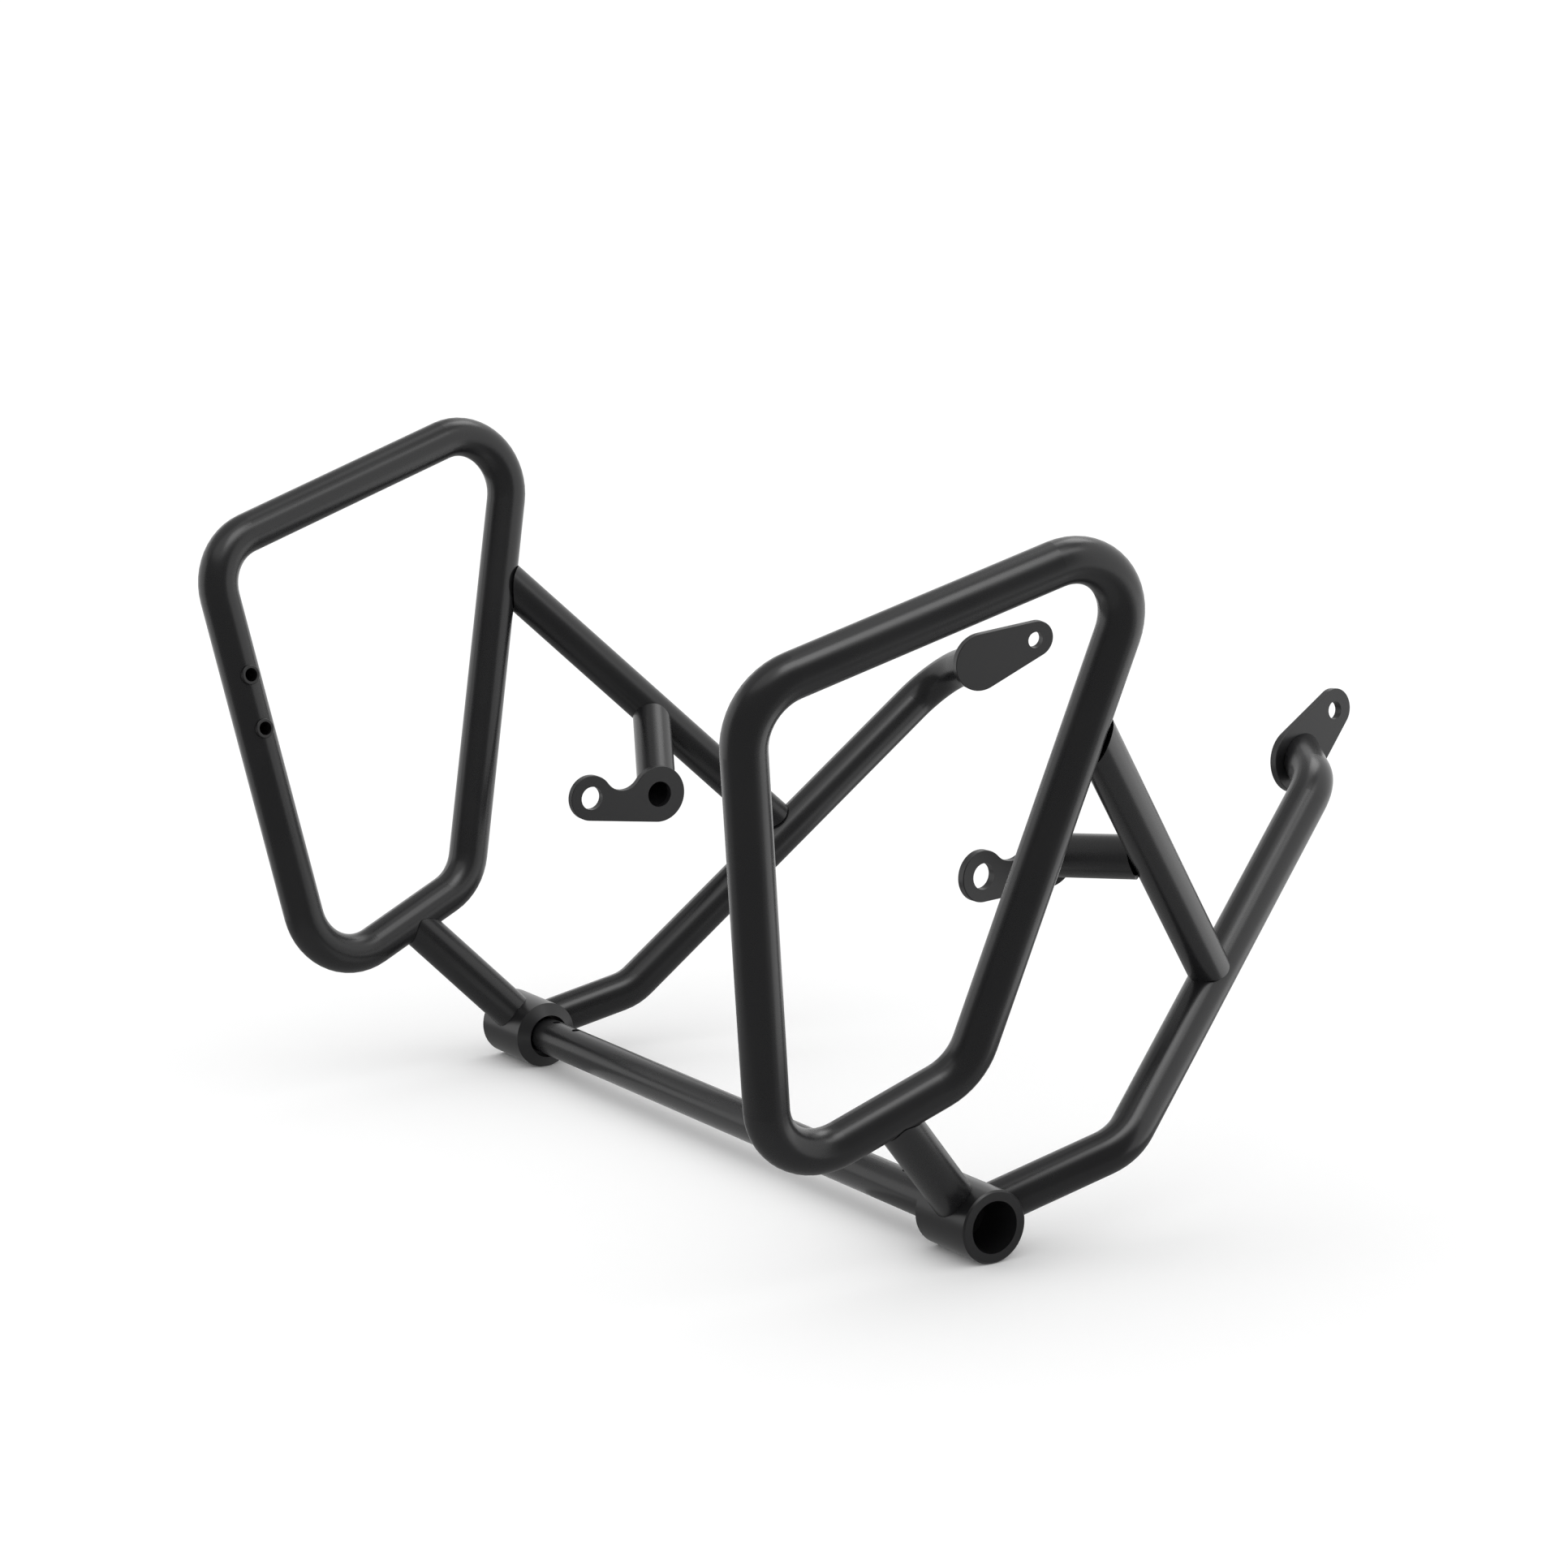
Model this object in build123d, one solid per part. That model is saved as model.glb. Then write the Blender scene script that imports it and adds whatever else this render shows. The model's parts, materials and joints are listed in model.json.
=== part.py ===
from build123d import *
import os
from math import cos, radians, sin, sqrt, tan

os.makedirs("parts", exist_ok=True)

# Tube stock and bending, millimetres
tube_od = 25.0
tube_wall = 2.0
bend_radius = 35.0  # to the tube's centreline
cross_od = 23.0
cross_wall = 2.0

# Joints
weld_gap = 0.1  # between a tube end and the piece it is welded to
seat_gap = 0.1  # radial, round a piece let into a hole
tube_cope = 1.6  # a tube end's notch, as a share of the radius of the tube it meets
stub_cope = 1.04  # the same, where a stub meets a loop
collar_cope = 1.0  # the same, where a tube meets a collar

# Collars on the ends of the cross tube
collar_od = 42.0
collar_bore = 30.0
collar_mouth = 27.4  # opening at the inner end, round the cross tube
collar_length = 45.9  # straight part
collar_nose = 4.5  # taper at the inner end
collar_x = 245.45  # middle of a collar's straight part from the middle of the cross tube
collar_chamfer = 1.0
collar_recess = 10.0  # depth of the inner opening, up to the web
collar_web = 10.0  # ring inside the collar that holds the cross tube

# Drain holes on top of the cross tube
drain_d = 5.0
drain_x = (184.0, 208.0)

# Guard loops: a flat quadrilateral of tube, seen from the side as y and z, then leaned and toed
guard_lean = 10.38  # degrees, tops outward
guard_toe = 4.03  # degrees, rear outward
guard_x = 260.1  # at the lower front corner
guard_top_front = (-189.8, 320.0)
guard_top_rear = (49.3, 394.5)
guard_low_rear = (-27.3, 95.0)
guard_low_front = (-141.3, 46.6)

# Threaded bushes let into the front leg of each loop, from the top front corner
bush_od = 12.3
bush_thread = 8.5
bush_length = 10.0
bush_proud = 1.3
bush_chamfer = 0.4
bush_at = {"upper": 80.2, "lower": 114.9}

# Where the straight tubes meet the loops and the collars
strut_from_corner = 111.9  # down the rear leg from the top rear corner
stub_from_corner = 48.5  # along the bottom leg from the lower rear corner
stub_x = 241.0  # where the stub's line meets the collar's axis

# Flat plates
plate_thickness = 5.0
plate_edge = 0.5  # radius of the rounded outer edges
bracket_x = 210.0
bracket_hole_pitch = 49.0
bracket_small_r = 14.7
bracket_small_hole = 15.0
bracket_big_r = 18.3
bracket_big_hole = 16.6
bracket_notch_r = 13.7
bracket_yaw = 3.4  # degrees, big ends inward
arm_on_bracket = 48.5  # from the small hole toward the big one
tab_pitch_length = 43.6
tab_small_r = 12.3
tab_hole = 11.0
tab_hole_in = 1.4  # from the middle of the small end toward the big one
tab_big_r = 19.5
tab_yaw = 6.0  # degrees
tab_pitch = 5.0  # degrees

# What differs between the two sides; x is the distance out from the middle
SIDES = {
    "left": {
        "sign": 1,
        "stay": [(243.0, 0.0, 0.0), (273.4, 84.4, 34.9), (196.6, 284.2, 205.5)],
        "stay_on_tab": 5.4,  # from the middle of the tab's big end toward its hole
        "strut_foot": 123.3,  # along the stay from its first bend
        "arm_share": 0.516,  # down the strut
        "bracket_small": (31.0, 183.0),
        "bracket_tilt": 6.6,
        "tab_end": (152.0, 335.4, 237.9),
        "tab_spin": 38.7,
    },
    "right": {
        "sign": -1,
        "stay": [(247.0, 0.0, 0.0), (230.8, 68.7, 19.7), (210.4, 303.9, 209.9)],
        "stay_on_tab": 0.0,
        "strut_foot": 150.3,
        "arm_share": 0.527,
        "bracket_small": (27.9, 155.4),
        "bracket_tilt": -2.6,
        "tab_end": (152.0, 338.4, 238.5),
        "tab_spin": 16.8,
    },
}

tube_r = tube_od / 2
bore_r = tube_r - tube_wall
collar_r = collar_od / 2
web_inner = collar_recess - collar_nose - collar_length / 2
web_outer = web_inner + collar_web


def at(sign, x, y, z):
    """Point measured from the middle of the cross tube's axis."""
    return Vector(sign * x, y, z)


def along(start, end, distance):
    """Point at a distance from start toward end."""
    return start + (end - start).normalized() * distance


def rod(start, end, radius):
    """Plain cylinder between two points."""
    return Solid.make_cylinder(radius, (end - start).length, Plane(start, z_dir=end - start))


def swept(path, radius):
    """Round bar along a path of straight runs and tangent arcs."""
    return sweep(Plane(path @ 0, z_dir=path % 0) * Circle(radius), path=path)


def cope(carrier_start, carrier_end, carrier_r, ratio, joint, branch):
    """Cutter for a tube end, clear of the carrier by the weld gap at the throat of the joint."""
    axis = (carrier_end - carrier_start).normalized()
    away = branch - joint
    away = (away - axis * away.dot(axis)).normalized()
    cutter_r = carrier_r * ratio + weld_gap
    centre = joint + away * (carrier_r + weld_gap - cutter_r)
    reach = axis * 3 * tube_od
    return rod(centre - reach, centre + reach, cutter_r)


def straight_tube(start, end):
    """Open tube between two points."""
    return rod(start, end, tube_r) - rod(start, end, bore_r)


def tangent(r_a, r_b, pitch, side):
    """Ends of the line touching two circles, the first at 0 and the second at pitch on x."""
    lean = (r_a - r_b) / pitch
    rise = side * sqrt(1 - lean**2)
    return (r_a * lean, r_a * rise), (pitch + r_b * lean, r_b * rise)


def teardrop(r_a, r_b, pitch):
    """Outline round two circles with straight sides."""
    low_a, low_b = tangent(r_a, r_b, pitch, -1)
    high_a, high_b = tangent(r_a, r_b, pitch, 1)
    body = make_face(Polyline(low_a, low_b, high_b, high_a, close=True))
    return body + Circle(r_a) + Pos(pitch, 0) * Circle(r_b)


def waisted(r_a, r_b, pitch, notch_r):
    """Outline round two circles with a straight lower side and a round notch above."""
    low_a, low_b = tangent(r_a, r_b, pitch, -1)
    to_a = r_a + notch_r
    to_b = r_b + notch_r
    notch_x = (to_a**2 - to_b**2 + pitch**2) / (2 * pitch)
    notch_y = sqrt(to_a**2 - notch_x**2)
    body = make_face(Polyline(low_a, low_b, (pitch, 0), (notch_x, notch_y), (0, 0), close=True))
    body = body - Pos(notch_x, notch_y) * Circle(notch_r)
    return body + Circle(r_a) + Pos(pitch, 0) * Circle(r_b)


def plate(plane, outline):
    """Flat plate about a plane, its outer edges rounded."""
    slab = extrude(plane * outline, plate_thickness / 2, both=True)
    rims = slab.faces().filter_by(Axis(plane.origin, plane.z_dir)).edges()
    return fillet(rims, plate_edge)


def collar(sign):
    """Turned sleeve with a web inside, its axis along x."""
    half = collar_length / 2
    seat = cross_od / 2 + seat_gap
    profile = Polyline(
        (-half - collar_nose, collar_mouth / 2),
        (-half, collar_r),
        (half - collar_chamfer, collar_r),
        (half, collar_r - collar_chamfer),
        (half, collar_bore / 2),
        (web_outer, collar_bore / 2),
        (web_outer, seat),
        (web_inner, seat),
        (web_inner, collar_mouth / 2),
        close=True,
    )
    ring = Pos(collar_x, 0, 0) * revolve(make_face(profile), Axis.X)
    return ring if sign > 0 else mirror(ring, about=Plane.YZ)


def cross_tube():
    """Tube between the collars' webs, with drain holes on top."""
    reach = collar_x + web_outer
    ends = (at(-1, reach, 0, 0), at(1, reach, 0, 0))
    tube = rod(*ends, cross_od / 2) - rod(*ends, cross_od / 2 - cross_wall)
    for sign in (-1, 1):
        for x in drain_x:
            tube -= rod(at(sign, x, 0, 0), at(sign, x, 0, cross_od), drain_d / 2)
    return tube


def guard_corner(sign, side_point):
    """Corner of a loop from its side view."""
    y, z = side_point
    y0, z0 = guard_low_front
    x = guard_x + tan(radians(guard_toe)) * (y - y0) + tan(radians(guard_lean)) * (z - z0)
    return at(sign, x, y, z)


def build_side(name, given):
    """All the pieces of one side, by node name."""
    sign = given["sign"]
    pieces = {"collar_" + name: collar(sign)}

    # Guard loop, with a hole through the inner wall for each bush
    top_front = guard_corner(sign, guard_top_front)
    top_rear = guard_corner(sign, guard_top_rear)
    low_rear = guard_corner(sign, guard_low_rear)
    low_front = guard_corner(sign, guard_low_front)
    loop_path = FilletPolyline(
        top_front, top_rear, low_rear, low_front, radius=bend_radius, close=True
    )
    loop = swept(loop_path, tube_r) - swept(loop_path, bore_r)
    inward = Vector(-sign, tan(radians(guard_toe)), tan(radians(guard_lean))).normalized()
    for place, distance in bush_at.items():
        centre = along(top_front, low_front, distance)
        tip = centre + inward * (tube_r + bush_proud)
        tail = tip - inward * bush_length
        loop -= rod(centre, tip, bush_od / 2 + seat_gap)
        bush = rod(tail, tip, bush_od / 2)
        bush = chamfer(bush.edges().sort_by(Axis(tail, inward))[-1], bush_chamfer)
        bush -= rod(tail, tip, bush_thread / 2)
        pieces["bush_" + place + "_" + name] = bush
    pieces["guard_loop_" + name] = loop

    # Frame tab at the rear
    yaw = radians(tab_yaw)
    pitch = radians(tab_pitch)
    spin = radians(given["tab_spin"])
    out = Vector(sign * cos(yaw) * cos(pitch), sin(yaw) * cos(pitch), sin(pitch))
    level = Vector(0, 0, 1).cross(out).normalized() * sign
    rise = out.cross(level) * sign
    to_hole = level * cos(spin) + rise * sin(spin)
    tab_end = at(sign, *given["tab_end"])
    tab_plane = Plane(tab_end, x_dir=-to_hole, z_dir=out)
    tab = plate(tab_plane, teardrop(tab_small_r, tab_big_r, tab_pitch_length))
    hole_at = tab_end - to_hole * tab_hole_in
    tab -= rod(hole_at - out * plate_thickness, hole_at + out * plate_thickness, tab_hole / 2)
    pieces["frame_tab_" + name] = tab

    # Stay from the collar to the tab
    foot, first_bend, last_bend = [at(sign, *point) for point in given["stay"]]
    seat = tab_end - to_hole * (tab_pitch_length - given["stay_on_tab"])
    past_tab = along(seat, last_bend, -tube_od)
    stay_path = FilletPolyline(foot, first_bend, last_bend, past_tab, radius=bend_radius)
    stay = swept(stay_path, tube_r) - swept(stay_path, bore_r)
    axle = (at(sign, 0, 0, 0), at(sign, collar_x, 0, 0))
    stay -= cope(*axle, collar_r, collar_cope, foot, first_bend)
    tab_face = Plane(seat + out * (plate_thickness / 2 + weld_gap), z_dir=out)
    pieces["rear_stay_" + name] = split(stay, bisect_by=tab_face, keep=Keep.TOP)

    # Lower stub from the loop to the collar
    stub_top = along(low_rear, low_front, stub_from_corner)
    stub_foot = at(sign, stub_x, 0, 0)
    stub = straight_tube(stub_top, stub_foot)
    stub -= cope(low_rear, low_front, tube_r, stub_cope, stub_top, stub_foot)
    stub -= cope(*axle, collar_r, collar_cope, stub_foot, stub_top)
    pieces["lower_stub_" + name] = stub

    # Strut from the loop to the stay
    strut_top = along(top_rear, low_rear, strut_from_corner)
    strut_foot = along(first_bend, last_bend, given["strut_foot"])
    strut = straight_tube(strut_top, strut_foot)
    strut -= cope(top_rear, low_rear, tube_r, tube_cope, strut_top, strut_foot)
    strut -= cope(first_bend, last_bend, tube_r, tube_cope, strut_foot, strut_top)
    pieces["strut_" + name] = strut

    # Engine bracket, upright, its big end turned a little inward
    tilt = radians(given["bracket_tilt"])
    turn = radians(bracket_yaw)
    facing = Vector(sign * cos(turn), sin(turn), 0)
    to_big = Vector(-sign * sin(turn) * cos(tilt), cos(turn) * cos(tilt), sin(tilt))
    small_at = at(sign, bracket_x, *given["bracket_small"])
    arm_foot = small_at + to_big * arm_on_bracket
    bracket_plane = Plane(small_at, x_dir=to_big, z_dir=facing * sign)
    outline = waisted(bracket_small_r, bracket_big_r, bracket_hole_pitch, bracket_notch_r)
    bracket = plate(bracket_plane, outline)
    through = facing * plate_thickness
    for distance, hole_d in ((0, bracket_small_hole), (bracket_hole_pitch, bracket_big_hole)):
        centre = small_at + to_big * distance
        bracket -= rod(centre - through, centre + through, hole_d / 2)
    pieces["engine_bracket_" + name] = bracket

    # Bracket arm from the strut to the bracket's big end
    arm_root = along(strut_top, strut_foot, (strut_foot - strut_top).length * given["arm_share"])
    arm = straight_tube(arm_root, along(arm_foot, arm_root, -tube_od))
    arm -= cope(strut_top, strut_foot, tube_r, tube_cope, arm_root, arm_foot)
    bracket_face = Plane(arm_foot + facing * (plate_thickness / 2 + weld_gap), z_dir=facing)
    pieces["bracket_arm_" + name] = split(arm, bisect_by=bracket_face, keep=Keep.TOP)
    return pieces


parts = {"cross_tube": cross_tube()}
for name, given in SIDES.items():
    parts.update(build_side(name, given))

for node, shape in parts.items():
    export_step(shape, "parts/" + node + ".step")
    print(node, "volume", round(shape.volume), "solids", len(shape.solids()))
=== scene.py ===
# %% [markdown]
# # Motorcycle crash bars in satin black powder coat
# The bars are two bent guard loops, one each side of the engine, on a welded frame of tube.
# The steelwork comes in as a finished model, so this lesson dresses it: a camera, a plain
# white studio, and the coating that covers every piece.

# %% Load the steelwork
import json
from math import cos, pi, radians, sin
import bpy
from mathutils import Matrix, Vector


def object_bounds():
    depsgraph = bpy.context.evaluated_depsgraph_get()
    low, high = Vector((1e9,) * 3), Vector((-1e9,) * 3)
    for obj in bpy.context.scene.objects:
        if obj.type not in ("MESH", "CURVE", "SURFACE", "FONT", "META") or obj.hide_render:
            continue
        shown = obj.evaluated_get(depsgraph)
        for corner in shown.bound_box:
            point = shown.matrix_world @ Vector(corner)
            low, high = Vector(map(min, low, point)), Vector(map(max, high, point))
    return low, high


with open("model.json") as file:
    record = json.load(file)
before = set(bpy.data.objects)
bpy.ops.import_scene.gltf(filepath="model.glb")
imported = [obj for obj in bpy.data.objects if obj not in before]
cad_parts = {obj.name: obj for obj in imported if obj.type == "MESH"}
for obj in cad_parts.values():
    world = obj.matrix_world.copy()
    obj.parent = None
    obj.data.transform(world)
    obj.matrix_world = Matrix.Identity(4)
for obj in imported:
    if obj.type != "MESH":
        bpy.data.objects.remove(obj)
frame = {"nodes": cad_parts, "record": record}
steel_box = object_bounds()
bpy.ops.object.select_all(action="DESELECT")
scene = bpy.context.scene
scene.view_settings.view_transform = "Standard"
print("pieces of steelwork:", len(frame["nodes"]))

# %% [markdown]
# ## Camera
# The picture was taken with a long lens from the front left and a little above, so upright
# lines stay nearly upright and near and far loops differ little in size. The camera's three
# directions are written straight into its matrix, because a matrix has no leftover roll.

# %% Camera
CAMERA_AT = Vector((2.01249, -1.28594, 0.68587))
CAMERA_RIGHT = Vector((0.5496, 0.8354, 0.0))
CAMERA_BACK = Vector((0.8188, -0.5387, 0.1982)).normalized()
FOCAL_MM = 94.42
SENSOR_MM = 36.0

camera_up = CAMERA_BACK.cross(CAMERA_RIGHT).normalized()
camera_right = camera_up.cross(CAMERA_BACK)
bpy.ops.object.camera_add(location=CAMERA_AT)
camera = bpy.context.object
camera.matrix_world = Matrix.Translation(CAMERA_AT) @ Matrix(
    (camera_right, camera_up, CAMERA_BACK)
).transposed().to_4x4()
camera.data.sensor_width = SENSOR_MM
camera.data.lens = FOCAL_MM
scene.camera = camera
print("camera stands", round(CAMERA_AT.length, 2), "m away with a", FOCAL_MM, "mm lens")

# %% [markdown]
# ## Helpers for colours and shader nodes
# Colours are written as the hex values a paint chart gives, and turned into the linear light
# that a renderer adds up. Every material below is a small graph. One function empties a graph
# and another adds a node, sets its values and joins its inputs, so that a graph reads from top
# to bottom.

# %% Helpers
def linear(hex_colour):
    """Hex sRGB colour as linear RGBA."""
    channels = [int(hex_colour[i : i + 2], 16) / 255 for i in (1, 3, 5)]
    lit = [c / 12.92 if c <= 0.04045 else ((c + 0.055) / 1.055) ** 2.4 for c in channels]
    return (*lit, 1.0)


def empty_graph(owner):
    """Turns on the nodes of a material or world and clears away the ones it starts with."""
    owner.use_nodes = True
    owner.node_tree.nodes.clear()
    return owner.node_tree


def add_node(tree, kind, settings=None, inputs=None, links=None):
    """Adds a node, sets its properties and input values, and joins outputs to its inputs."""
    node = tree.nodes.new(kind)
    for name, value in (settings or {}).items():
        setattr(node, name, value)
    for socket, value in (inputs or {}).items():
        node.inputs[socket].default_value = value
    for socket, source in (links or {}).items():
        tree.links.new(source, node.inputs[socket])
    return node


print("mid grey in linear light:", round(linear("#808080")[0], 3))

# %% [markdown]
# ## Light tent
# A product shot like this stands on white paper in a tent of light. The tent is the world, one
# even white, so a colour renders about as it is written and shadows have no direction. Its
# strength is a touch over one, to make up for the light that the steel keeps from the paper.

# %% Light tent
TENT_LIGHT = 1.08

scene.world = bpy.data.worlds.new("light_tent")
sky = empty_graph(scene.world)
tent = add_node(sky, "ShaderNodeBackground",
                inputs={"Color": linear("#ffffff"), "Strength": TENT_LIGHT})
add_node(sky, "ShaderNodeOutputWorld", links={"Surface": tent.outputs[0]})
print("tent gives light of strength", TENT_LIGHT)

# %% [markdown]
# ## Paper floor
# The floor is matt white paper at the height of the steel's lowest point. With even light from
# all round it only darkens where the steel stands close above it. Farther out it fades to
# clear, so no edge shows against the white of the tent.

# %% Paper floor
FLOOR_SIZE = 6.0
FLOOR_SOLID = 0.45  # metres from the middle where the paper starts to fade
FLOOR_GONE = 1.1  # metres from the middle where it is all clear

floor_height = steel_box[0][2]
bpy.ops.mesh.primitive_plane_add(size=FLOOR_SIZE, location=(0, 0, floor_height))
floor = bpy.context.object
floor.name = "paper_floor"
bpy.ops.object.transform_apply(location=True, rotation=True, scale=True)
paper = bpy.data.materials.new("matt_white_paper")
graph = empty_graph(paper)
place = add_node(graph, "ShaderNodeTexCoord")
reach = add_node(graph, "ShaderNodeVectorMath", {"operation": "LENGTH"},
                 links={0: place.outputs["Object"]})
fade = add_node(graph, "ShaderNodeMapRange", {"interpolation_type": "SMOOTHSTEP"},
                {"From Min": FLOOR_SOLID, "From Max": FLOOR_GONE},
                {"Value": reach.outputs["Value"]})
matt = add_node(graph, "ShaderNodeBsdfDiffuse", inputs={"Color": linear("#ffffff")})
clear = add_node(graph, "ShaderNodeBsdfTransparent")
cover = add_node(graph, "ShaderNodeMixShader",
                 links={0: fade.outputs["Result"], 1: matt.outputs[0], 2: clear.outputs[0]})
add_node(graph, "ShaderNodeOutputMaterial", links={"Surface": cover.outputs[0]})
floor.data.materials.append(paper)
print("floor lies at", round(floor_height, 4), "m")

# %% [markdown]
# ## Soft boxes
# Three soft boxes hang above the set: one toward the camera, a weaker one on its right and one
# behind. Each draws a line of light along the upper side of the tubes. They are left out of
# diffuse light, so the paper keeps its even white. A lamp's brightness in a mirror depends on
# its size, so the power is worked out from the glow that a tube should mirror.

# %% Soft boxes
AIM = Vector((0.0, 0.07, 0.18))
SOFT_BOXES = {
    "front": {"at": (1.42, -0.2, 3.0), "size": (1.5, 1.3), "glow": 3.2},
    "side": {"at": (2.0, 1.1, 3.0), "size": (1.0, 0.9), "glow": 1.9},
    "rear": {"at": (-0.9, 1.8, 3.0), "size": (1.4, 1.4), "glow": 2.5},
}

for name, box in SOFT_BOXES.items():
    wide, tall = box["size"]
    bpy.ops.object.light_add(type="AREA", location=box["at"])
    lamp = bpy.context.object
    lamp.name = "soft_box_" + name
    lamp.rotation_euler = (AIM - lamp.location).to_track_quat("-Z", "Y").to_euler()
    lamp.data.shape = "RECTANGLE"
    lamp.data.size = wide
    lamp.data.size_y = tall
    lamp.data.energy = box["glow"] * pi * wide * tall
    lamp.visible_diffuse = False
    print(lamp.name, round(lamp.data.energy, 1), "W")

# %% [markdown]
# ## Sheets that only reflections see
# Round black tube shows little but what it mirrors, so a photographer stands cards round it,
# out of the picture. A card here is a sheet with an even glow of its own. Its visibility
# settings hide it from the camera and from the light on the paper, so it only shows in the
# gloss.

# %% Mirrored sheets
def mirrored_only(sheet, name, colour, strength=1.0):
    """Gives a sheet an even glow that only reflections see."""
    sheet.name = name
    glow = bpy.data.materials.new(name + "_glow")
    glow.cycles.emission_sampling = "NONE"
    graph = empty_graph(glow)
    light = add_node(graph, "ShaderNodeEmission",
                     inputs={"Color": linear(colour), "Strength": strength})
    add_node(graph, "ShaderNodeOutputMaterial", links={"Surface": light.outputs[0]})
    sheet.data.materials.append(glow)
    sheet.visible_camera = False
    sheet.visible_diffuse = False
    sheet.visible_shadow = False
    sheet.visible_transmission = False
    print(name, "has", len(sheet.data.polygons), "faces")


print("mirrored sheets are hidden from the camera, diffuse light, shadows and glass")

# %% [markdown]
# ## Cards
# A dark card on the camera's side keeps the middle of each tube black, grey ones above and
# below dull the far sides, and a bright one on the right draws the edge light. Each card is a
# slice of a big ball: a sphere is cut by planes that keep a range of directions round the set
# and a range of heights.

# %% Cards
CARDS = {  # metres away, degrees round from the x axis, degrees up, colour, strength
    "dark_card": (4.3, (-116, 22), (-48, 43), "#727272", 1.0),
    "low_card": (4.5, None, (-90, -18), "#9b9b9b", 1.0),
    "roof_card": (4.5, (150, 255), (28, 84), "#bebebe", 1.0),
    "side_card": (4.6, (28, 90), (58, 83), "#a8a8a8", 1.0),
    "bright_card": (4.4, (46, 90), (-36, -4), "#ffffff", 1.5),
}
BALL_SEGMENTS = 72
BALL_RINGS = 36


def keep_side(normal, offset=0.0):
    """Bisects the mesh in edit mode and keeps the side that the normal points to."""
    bpy.ops.mesh.select_all(action="SELECT")
    bpy.ops.mesh.bisect(plane_co=normal * offset, plane_no=normal, clear_inner=True)


for name, (distance, turn, rise, colour, strength) in CARDS.items():
    bpy.ops.mesh.primitive_uv_sphere_add(
        radius=distance, segments=BALL_SEGMENTS, ring_count=BALL_RINGS)
    card = bpy.context.object
    bpy.ops.object.mode_set(mode="EDIT")
    if turn:
        start, end = (radians(degrees) for degrees in turn)
        keep_side(Vector((-sin(start), cos(start), 0)))
        keep_side(Vector((sin(end), -cos(end), 0)))
    low, high = (sin(radians(degrees)) * distance for degrees in rise)
    keep_side(Vector((0, 0, 1)), low)
    keep_side(Vector((0, 0, -1)), -high)
    bpy.ops.object.mode_set(mode="OBJECT")
    mirrored_only(card, name, colour, strength)

# %% [markdown]
# ## Painted shade of the paper, seen in the gloss
# White paper would fill the undersides of the lowest tubes with light, so it is left out of
# reflections. In its place they mirror a round grey sheet, a painted shade of the paper around
# the steel, with a paler strip along the cross tube, a painted reflection on its underside.
# They lie a hair above the paper and each other, because sheets at one height show through
# each other in specks.

# %% Painted floor shade
SHADE_SHEET_RADIUS = 0.42
SHADE_SHEET_SIDES = 64
SHADE_SHEET_LIFT = 0.0005
# painted shade: the grey that the low tubes mirror in place of the shaded paper
PAINTED_SHADE_COLOUR = "#979797"
STRIP_MIDDLE = (-0.015, -0.045)
STRIP_SIZE = (0.31, 0.13)
STRIP_LIFT = 2 * SHADE_SHEET_LIFT
# painted reflection: the paler grey that the cross tube mirrors along its underside
PAINTED_REFLECTION_COLOUR = "#cecece"

floor.visible_glossy = False
bpy.ops.mesh.primitive_circle_add(
    vertices=SHADE_SHEET_SIDES, radius=SHADE_SHEET_RADIUS, fill_type="NGON",
    location=(0, 0, floor_height + SHADE_SHEET_LIFT))
bpy.ops.object.transform_apply(location=True, rotation=True, scale=True)
# a sheet of painted shade that only reflections see
mirrored_only(bpy.context.object, "painted_floor_shade", PAINTED_SHADE_COLOUR)
bpy.ops.mesh.primitive_plane_add(
    size=1.0, location=(*STRIP_MIDDLE, floor_height + STRIP_LIFT))
strip = bpy.context.object
strip.scale = (*STRIP_SIZE, 1.0)
bpy.ops.object.transform_apply(location=True, rotation=True, scale=True)
# a strip of painted reflection that only reflections see
mirrored_only(strip, "painted_reflection_strip", PAINTED_REFLECTION_COLOUR)

# %% [markdown]
# ## Satin black powder coat
# Powder is sprayed on dry and melted in an oven. It runs together into a skin that is never
# quite flat: the shallow dimples, a couple of millimetres across, are called orange peel. The
# skin is a polymer, so its base is black pigment and its gloss is that of plastic, dulled to
# satin by its fine matting grain. Three noise patterns draw this: wide clouds in pigment and
# roughness, grain in roughness, and orange peel as bump.

# %% Powder coat
ORANGE_PEEL_MM = 2.2
ORANGE_PEEL_DEPTH_MM = 0.004
MATTING_GRAIN_MM = 0.9  # real grain is far finer; drawn this coarse so that it shows
CLOUD_MM = 60.0
GRAIN_SHARE = 0.2  # how much of the grain is added to the clouds
PATTERN_LOW, PATTERN_HIGH = 0.3, 0.9  # clouds and grain together at least and most roughness
POLYMER_IOR = 1.5


def per_metre(millimetres):
    """Pattern scale that repeats once in a length."""
    return 1000.0 / millimetres


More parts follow.
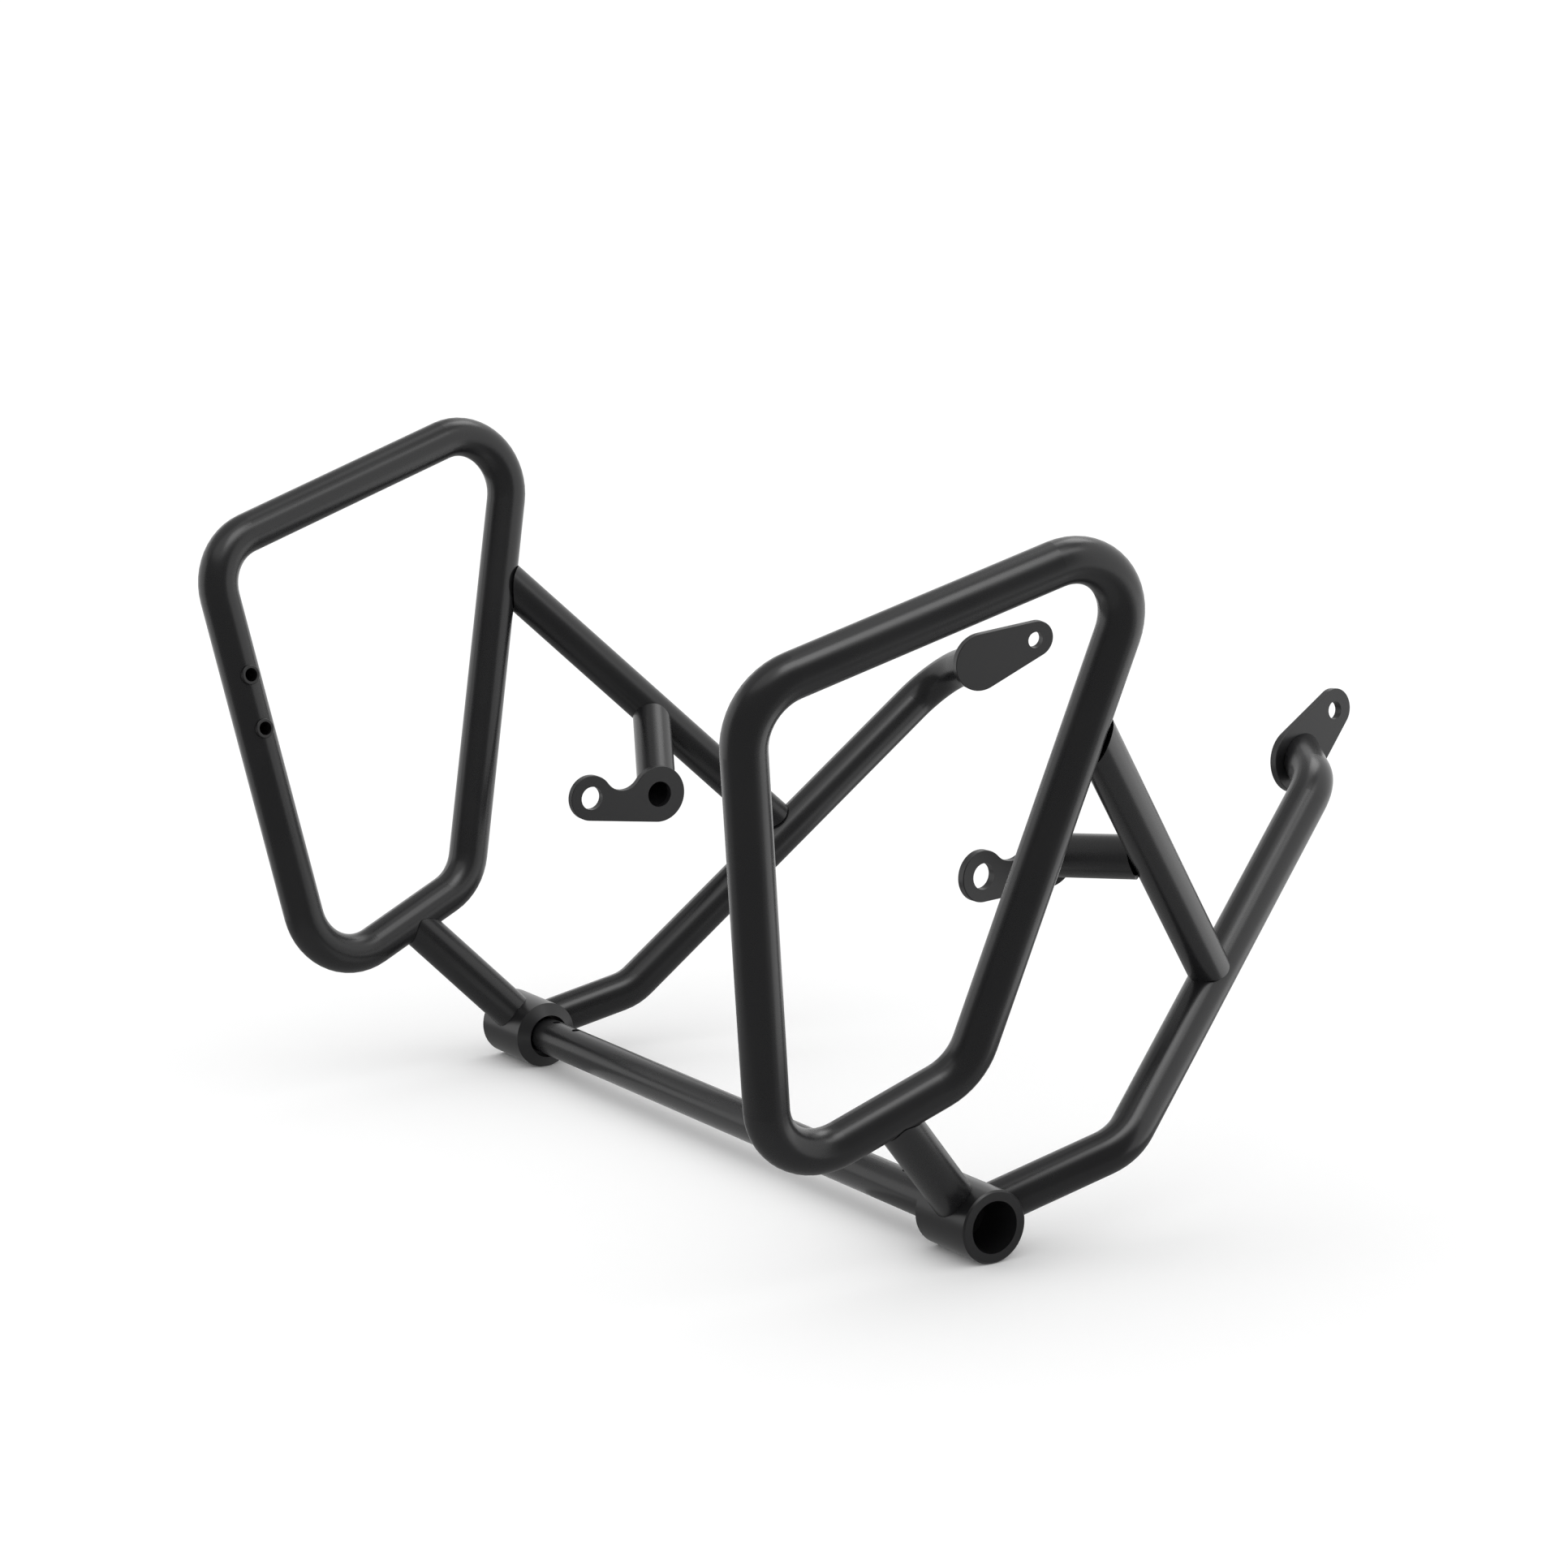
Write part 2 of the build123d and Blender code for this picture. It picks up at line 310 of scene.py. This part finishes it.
def powder_coat(name, dark, light, rough_low, rough_high):
    """Black polymer coat: pigment clouds, satin grain and orange peel."""
    coat = bpy.data.materials.new(name)
    graph = empty_graph(coat)
    place = add_node(graph, "ShaderNodeTexCoord").outputs["Object"]
    cloud = add_node(graph, "ShaderNodeTexNoise", None,
                     {"Scale": per_metre(CLOUD_MM), "Detail": 3.0, "Roughness": 0.6},
                     {"Vector": place})
    grain = add_node(graph, "ShaderNodeTexNoise", None,
                     {"Scale": per_metre(MATTING_GRAIN_MM), "Detail": 2.0},
                     {"Vector": place})
    peel = add_node(graph, "ShaderNodeTexNoise", None,
                    {"Scale": per_metre(ORANGE_PEEL_MM), "Detail": 1.5, "Roughness": 0.4},
                    {"Vector": place})
    tint = add_node(graph, "ShaderNodeMix", {"data_type": "RGBA"},
                    {"A": linear(dark), "B": linear(light)},
                    {"Factor": cloud.outputs["Fac"]})
    blend = add_node(graph, "ShaderNodeMath", {"operation": "MULTIPLY_ADD"},
                     {1: GRAIN_SHARE},
                     {0: grain.outputs["Fac"], 2: cloud.outputs["Fac"]})
    satin = add_node(graph, "ShaderNodeMapRange", None,
                     {"From Min": PATTERN_LOW, "From Max": PATTERN_HIGH,
                      "To Min": rough_low, "To Max": rough_high},
                     {"Value": blend.outputs[0]})
    dimples = add_node(graph, "ShaderNodeBump", None,
                       {"Strength": 1.0, "Distance": ORANGE_PEEL_DEPTH_MM / 1000},
                       {"Height": peel.outputs["Fac"]})
    skin = add_node(graph, "ShaderNodeBsdfPrincipled", None,
                    {"Metallic": 0.0, "IOR": POLYMER_IOR},
                    {"Base Color": tint.outputs["Result"], "Roughness": satin.outputs["Result"],
                     "Normal": dimples.outputs["Normal"]})
    add_node(graph, "ShaderNodeOutputMaterial", links={"Surface": skin.outputs[0]})
    return coat


print("orange peel repeats", round(per_metre(ORANGE_PEEL_MM)), "times in a metre")

# %% [markdown]
# ## A coat for each kind of piece
# The coat lies a little differently on each kind of steel. Drawn tube is smoothest and has the
# most gloss, turned collars are a shade duller, cut plates are duller again and a little paler,
# and the bushes are darkest and dullest. Each line gives the two blacks of the pigment and the
# least and most roughness.

# %% Coats
COATS = {
    "tube_coat": powder_coat("powder_coated_steel_tube", "#161617", "#1c1c1d", 0.24, 0.31),
    "collar_coat": powder_coat("powder_coated_turned_collar", "#161617", "#1c1c1d", 0.27, 0.34),
    "plate_coat": powder_coat("powder_coated_cut_plate", "#1b1b1c", "#212122", 0.30, 0.38),
    "bush_coat": powder_coat("powder_coated_threaded_bush", "#141415", "#19191a", 0.34, 0.42),
}
print("coats:", ", ".join(coat.name for coat in COATS.values()))

# %% [markdown]
# ## Coat every piece
# The record says which kind of coat each piece of steel takes, so the new materials go into the
# slots that are already there.

# %% Coat the steelwork
for entry in frame["record"]["subparts"]:
    piece = frame["nodes"][entry["node"]]
    for slot in piece.material_slots:
        slot.material = COATS[entry["material_slot"]]
